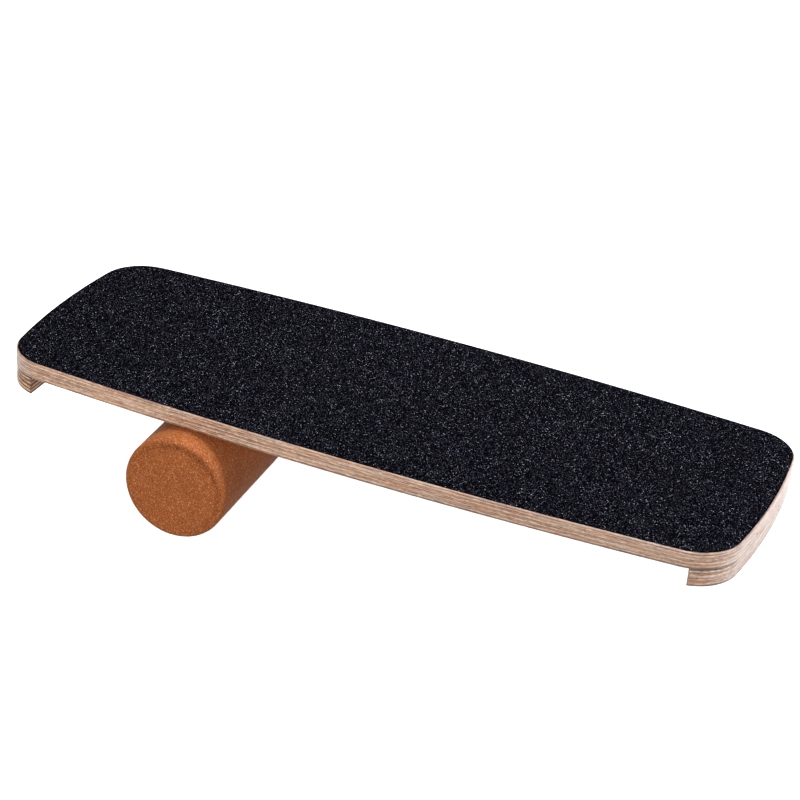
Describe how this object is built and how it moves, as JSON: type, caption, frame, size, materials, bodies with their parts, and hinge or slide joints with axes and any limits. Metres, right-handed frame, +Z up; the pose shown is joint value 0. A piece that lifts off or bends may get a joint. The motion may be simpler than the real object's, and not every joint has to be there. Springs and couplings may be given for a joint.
{
  "type": "balance board",
  "caption": "Plywood deck with a non-slip top sheet and an end stop under each end, tilting on a loose cork roller.",
  "frame": {"origin": "on the floor, below the middle of the whole object's box, with the right stop and the roller standing on the floor", "axes": "+X along the deck towards its low end, +Y across the deck, +Z up"},
  "size_m": [0.7151, 0.3182, 0.1487],
  "materials": {
    "grip": "mineral-coated, rough, with fine pale grains",
    "face_veneer": "sanded and clear-lacquered",
    "cross_veneer": "sanded and clear-lacquered, end grain at the sides",
    "screw_steel": "bright zinc",
    "cork": "agglomerated cork, sanded, matt"
  },
  "bodies": {
    "roller": {"cork_roller": "cork"},
    "board": {"grip_sheet": "grip", "deck_veneer_1": "face_veneer", "deck_veneer_2": "cross_veneer", "deck_veneer_3": "face_veneer", "deck_veneer_4": "cross_veneer", "deck_veneer_5": "face_veneer", "deck_veneer_6": "cross_veneer", "deck_veneer_7": "face_veneer", "deck_veneer_8": "cross_veneer", "deck_veneer_9": "face_veneer", "left_stop_veneer_1": "face_veneer", "left_stop_veneer_2": "cross_veneer", "left_stop_veneer_3": "face_veneer", "left_stop_veneer_4": "cross_veneer", "left_stop_veneer_5": "face_veneer", "left_stop_veneer_6": "cross_veneer", "left_stop_veneer_7": "face_veneer", "left_stop_veneer_8": "cross_veneer", "left_stop_veneer_9": "face_veneer", "right_stop_veneer_1": "face_veneer", "right_stop_veneer_2": "cross_veneer", "right_stop_veneer_3": "face_veneer", "right_stop_veneer_4": "cross_veneer", "right_stop_veneer_5": "face_veneer", "right_stop_veneer_6": "cross_veneer", "right_stop_veneer_7": "face_veneer", "right_stop_veneer_8": "cross_veneer", "right_stop_veneer_9": "face_veneer", "left_stop_screws": "screw_steel", "right_stop_screws": "screw_steel"}
  },
  "joints": [
    {"name": "deck_rock", "type": "hinge", "parent": "roller", "child": "board", "pos_m": [-0.1634, 0, 0.05], "axis": [0.0384, -0.9993, 0], "range_deg": [0, 32.48]}
  ]
}
